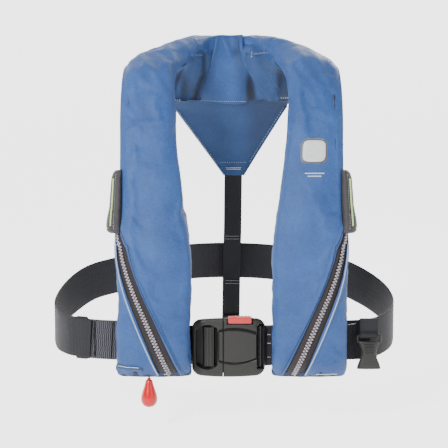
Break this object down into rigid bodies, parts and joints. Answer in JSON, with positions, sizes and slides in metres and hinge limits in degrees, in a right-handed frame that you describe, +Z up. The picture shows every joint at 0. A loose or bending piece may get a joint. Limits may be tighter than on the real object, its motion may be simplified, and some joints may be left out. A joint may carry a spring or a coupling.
{
  "type": "inflatable life jacket",
  "caption": "Uninflated U-shaped inflatable life jacket with two zipped lobes, collar, back yoke, waist belt and buckle, pull toggle and crotch buckle.",
  "frame": {"origin": "the point between the shoulders where the jacket rests, level with the front of the shoulder fold", "axes": "+X to the viewer's right seen from the front, +Y from the chest to the back, +Z up"},
  "size_m": [0.4473, 0.2574, 0.471],
  "materials": {
    "nylon": "woven blue nylon, satin",
    "hem_nylon": "dark woven hem tape",
    "bladder": "coated yellow bladder fabric",
    "zip_tape": "woven charcoal tape",
    "zip_teeth": "light grey moulded teeth",
    "slider_metal": "black painted die casting",
    "tab_fabric": "charcoal padded fabric",
    "lime_piping": "lime piping",
    "webbing": "black polyester webbing",
    "buckle_plastic": "charcoal moulded nylon",
    "steel": "stainless, brushed",
    "button_red": "red moulded plastic",
    "inflator_plastic": "black moulded plastic",
    "cap_yellow": "yellow moulded plastic",
    "cylinder_steel": "plated steel cylinder",
    "lever_red": "red moulded plastic",
    "cord": "braided light cord",
    "toggle_red": "red moulded plastic, glossy",
    "orange_plastic": "orange moulded plastic",
    "lifting_webbing": "orange webbing",
    "badge": "plain light patch"
  },
  "bodies": {
    "jacket": {"cover_left": "nylon", "cover_right": "nylon", "cover_collar": "nylon", "hem_left": "hem_nylon", "hem_right": "hem_nylon", "collar_flap_left": "nylon", "collar_flap_center": "nylon", "collar_flap_right": "nylon", "yoke_panel": "nylon", "bladder_left": "bladder", "bladder_right": "bladder", "bladder_collar": "bladder", "zip_tape_left": "zip_tape", "zip_tape_right": "zip_tape", "zip_teeth_left": "zip_teeth", "zip_teeth_right": "zip_teeth", "edge_tab_left": "tab_fabric", "edge_tab_right": "tab_fabric", "tab_piping_left": "lime_piping", "tab_piping_right": "lime_piping", "back_strap": "webbing", "belt_back": "webbing", "belt_front_left": "webbing", "belt_front_right": "webbing", "belt_adjuster": "buckle_plastic", "belt_keeper": "webbing", "belt_tunnel": "webbing", "buckle_housing_front": "buckle_plastic", "buckle_housing_back": "buckle_plastic", "buckle_web_bar": "steel", "button_spring": "steel", "crotch_loop": "webbing", "crotch_strap": "webbing", "crotch_bundle": "webbing", "crotch_keeper": "webbing", "crotch_clip": "buckle_plastic", "inflator_body": "inflator_plastic", "co2_cylinder": "cylinder_steel", "retaining_clip": "inflator_plastic", "manifold_flange": "inflator_plastic", "auto_cap": "cap_yellow", "lever_pin": "steel", "oral_tube": "inflator_plastic", "whistle": "orange_plastic", "whistle_lanyard": "cord", "lifting_loop": "lifting_webbing", "badge_patch": "badge"},
    "button": {"release_button": "button_red", "latch_plate": "steel"},
    "tongue": {"tongue_body": "buckle_plastic", "tongue_bar": "buckle_plastic", "tongue_plate": "steel", "belt_end_left": "webbing"},
    "pull": {"pull_cord": "cord"},
    "toggle": {"pull_toggle": "toggle_red"},
    "lever": {"inflator_lever": "lever_red"},
    "slider_left": {"zip_slider_left": "slider_metal"},
    "slider_right": {"zip_slider_right": "slider_metal"},
    "crotch": {"crotch_buckle": "buckle_plastic"},
    "tube_cap": {"oral_cap": "lever_red"}
  },
  "joints": [
    {"name": "button_press", "type": "slide", "parent": "jacket", "child": "button", "axis": [0, 0, -1], "range_m": [0, 0.0035], "stiffness_N_per_m": 300, "springref_m": -0.001, "deforming": ["button_spring"]},
    {"name": "tongue_slide", "type": "slide", "parent": "jacket", "child": "tongue", "axis": [-1, 0, 0], "range_m": [0, 0.022]},
    {"name": "cord_pull", "type": "slide", "parent": "jacket", "child": "pull", "axis": [0, 0, -1], "range_m": [0, 0.025]},
    {"name": "toggle_swing", "type": "hinge", "parent": "pull", "child": "toggle", "pos_m": [-0.102, -0.108, -0.3694], "axis": [0, 1, 0], "range_deg": [-30, 30]},
    {"name": "lever_turn", "type": "hinge", "parent": "jacket", "child": "lever", "pos_m": [-0.098, -0.118, -0.322], "axis": [-1, 0, 0], "range_deg": [0, 70]},
    {"name": "slider_left_run", "type": "slide", "parent": "jacket", "child": "slider_left", "axis": [-0.0084, -0.4398, -0.898], "range_m": [0, 0.0195]},
    {"name": "slider_right_run", "type": "slide", "parent": "jacket", "child": "slider_right", "axis": [0.0084, -0.4398, -0.898], "range_m": [0, 0.0195]},
    {"name": "crotch_swing", "type": "hinge", "parent": "jacket", "child": "crotch", "pos_m": [0.171, -0.0954, -0.317], "axis": [-1, 0, 0], "range_deg": [0, 75]},
    {"name": "cap_pull", "type": "slide", "parent": "jacket", "child": "tube_cap", "axis": [0, 0, 1], "range_m": [0, 0.012]}
  ],
  "couplings": [
    {"joint": "lever_turn", "follows": "cord_pull", "rad_per_m": 48}
  ]
}
